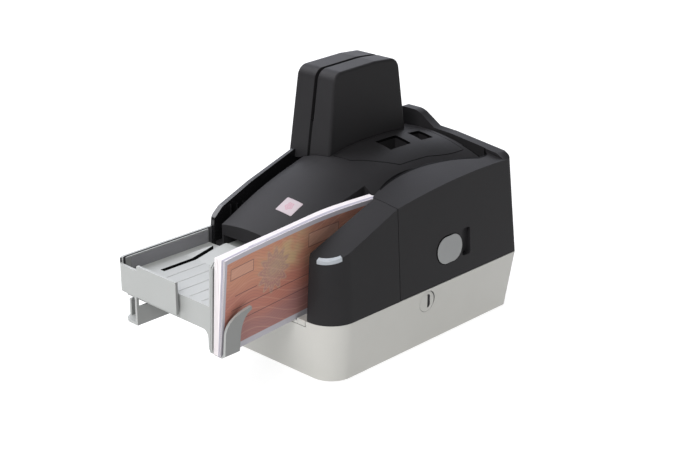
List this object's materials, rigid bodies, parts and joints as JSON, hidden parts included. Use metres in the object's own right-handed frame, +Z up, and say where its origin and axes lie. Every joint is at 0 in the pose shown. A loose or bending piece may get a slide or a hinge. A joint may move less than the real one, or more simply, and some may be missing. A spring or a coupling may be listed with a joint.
{
  "type": "cheque scanner",
  "caption": "Desktop cheque scanner with an upright feed hopper, an eject tray with a pull-out stopper, a hinged transport cover and a card swipe tower.",
  "frame": {"origin": "on the standing surface, under the middle of the machine's overall length and width", "axes": "+Z up, +X towards the side with the release button, -Y towards the trays, +Y towards the sockets"},
  "size_m": [0.1272, 0.2786, 0.1865],
  "materials": {
    "pale_plastic": "fine matt moulding",
    "tray_plastic": "fine matt moulding",
    "dark_plastic": "satin black moulding",
    "socket_black": "plain black moulding",
    "button_grey": "satin grey moulding",
    "badge_white": "smooth white plate",
    "lens_clear": "frosted clear lens",
    "sensor_glass": "dark scanning glass",
    "foot_rubber": "soft black rubber",
    "roller_rubber": "ground rubber",
    "screw_steel": "plated steel",
    "head_steel": "polished steel shell",
    "motor_metal": "cast and turned metal",
    "board_green": "coated circuit board",
    "cheque_paper": "printed security paper"
  },
  "bodies": {
    "scanner": {"lower_housing": "pale_plastic", "rubber_feet": "foot_rubber", "housing_screws": "screw_steel", "track_deck": "dark_plastic", "track_ramp": "dark_plastic", "centre_housing": "dark_plastic", "badge_plate": "badge_white", "top_panel": "dark_plastic", "left_guide_wall": "dark_plastic", "hinge_pin": "screw_steel", "hopper_block": "dark_plastic", "status_lens": "lens_clear", "front_image_sensor": "sensor_glass", "ink_head": "head_steel", "reader_left_half": "dark_plastic", "reader_right_half": "dark_plastic", "card_head": "head_steel", "eject_tray": "tray_plastic", "lock_cap": "pale_plastic", "main_board": "board_green", "drive_motor": "motor_metal", "drive_belt": "roller_rubber", "power_inlet": "socket_black", "usb_socket": "head_steel", "switch_frame": "socket_black"},
    "cover": {"transport_cover": "dark_plastic", "rear_image_sensor": "sensor_glass"},
    "button": {"release_button": "button_grey"},
    "pinch_1": {"pinch_roller_1": "roller_rubber"},
    "pinch_2": {"pinch_roller_2": "roller_rubber"},
    "pinch_3": {"pinch_roller_3": "roller_rubber"},
    "drive_1": {"drive_roller_1": "roller_rubber"},
    "drive_2": {"drive_roller_2": "roller_rubber"},
    "drive_3": {"drive_roller_3": "roller_rubber"},
    "rotor": {"motor_pulley": "motor_metal"},
    "pick": {"pick_roller": "roller_rubber"},
    "stopper": {"eject_stopper": "tray_plastic"},
    "extension": {"feed_extension": "tray_plastic"},
    "flapper": {"feed_flapper": "dark_plastic"},
    "rocker": {"power_rocker": "socket_black"},
    "stack": {"cheque_stack": "cheque_paper"}
  },
  "joints": [
    {"name": "cover_hinge", "type": "hinge", "parent": "scanner", "child": "cover", "pos_m": [-0.0476, 0.13085, 0.082], "axis": [0, 0, 1], "range_deg": [0, 60]},
    {"name": "button_press", "type": "slide", "parent": "cover", "child": "button", "axis": [-1, 0, 0], "range_m": [0, 0.0025], "stiffness_N_per_m": 400},
    {"name": "stopper_slide", "type": "slide", "parent": "scanner", "child": "stopper", "axis": [0, -1, 0], "range_m": [0, 0.06]},
    {"name": "extension_slide", "type": "slide", "parent": "scanner", "child": "extension", "axis": [0.0941, -0.9956, 0], "range_m": [0, 0.045]},
    {"name": "stack_lift", "type": "slide", "parent": "scanner", "child": "stack", "axis": [0.0499, 0, 0.9988], "range_m": [0, 0.09]},
    {"name": "flapper_swing", "type": "hinge", "parent": "scanner", "child": "flapper", "pos_m": [0.017, -0.02345, 0.073], "axis": [0, 0, -1], "range_deg": [0, 5]},
    {"name": "rocker_tilt", "type": "hinge", "parent": "scanner", "child": "rocker", "pos_m": [0.018, 0.13115, 0.024], "axis": [0, 0, 1], "range_deg": [-7, 7]},
    {"name": "motor_spin", "type": "hinge", "parent": "scanner", "child": "rotor", "pos_m": [-0.022, 0.04015, 0.03], "axis": [0, 0, 1], "continuous": true},
    {"name": "pick_spin", "type": "hinge", "parent": "scanner", "child": "pick", "pos_m": [0.0421, -0.00985, 0.07], "axis": [0, 0, 1], "continuous": true},
    {"name": "drive_1_spin", "type": "hinge", "parent": "scanner", "child": "drive_1", "pos_m": [0.01987, 0.03159, 0.076], "axis": [0, 0, 1], "continuous": true},
    {"name": "pinch_1_spin", "type": "hinge", "parent": "cover", "child": "pinch_1", "pos_m": [0.03241, 0.03359, 0.076], "axis": [0, 0, 1], "continuous": true},
    {"name": "drive_2_spin", "type": "hinge", "parent": "scanner", "child": "drive_2", "pos_m": [0.02532, 0.09242, 0.076], "axis": [0, 0, 1], "continuous": true},
    {"name": "pinch_2_spin", "type": "hinge", "parent": "cover", "child": "pinch_2", "pos_m": [0.03731, 0.08822, 0.076], "axis": [0, 0, 1], "continuous": true},
    {"name": "drive_3_spin", "type": "hinge", "parent": "scanner", "child": "drive_3", "pos_m": [-0.026, 0.11645, 0.076], "axis": [0, 0, 1], "continuous": true},
    {"name": "pinch_3_spin", "type": "hinge", "parent": "cover", "child": "pinch_3", "pos_m": [-0.026, 0.12915, 0.076], "axis": [0, 0, 1], "continuous": true}
  ],
  "couplings": [
    {"joint": "drive_1_spin", "follows": "motor_spin", "ratio": 1},
    {"joint": "drive_2_spin", "follows": "motor_spin", "ratio": 1},
    {"joint": "drive_3_spin", "follows": "motor_spin", "ratio": 1}
  ]
}
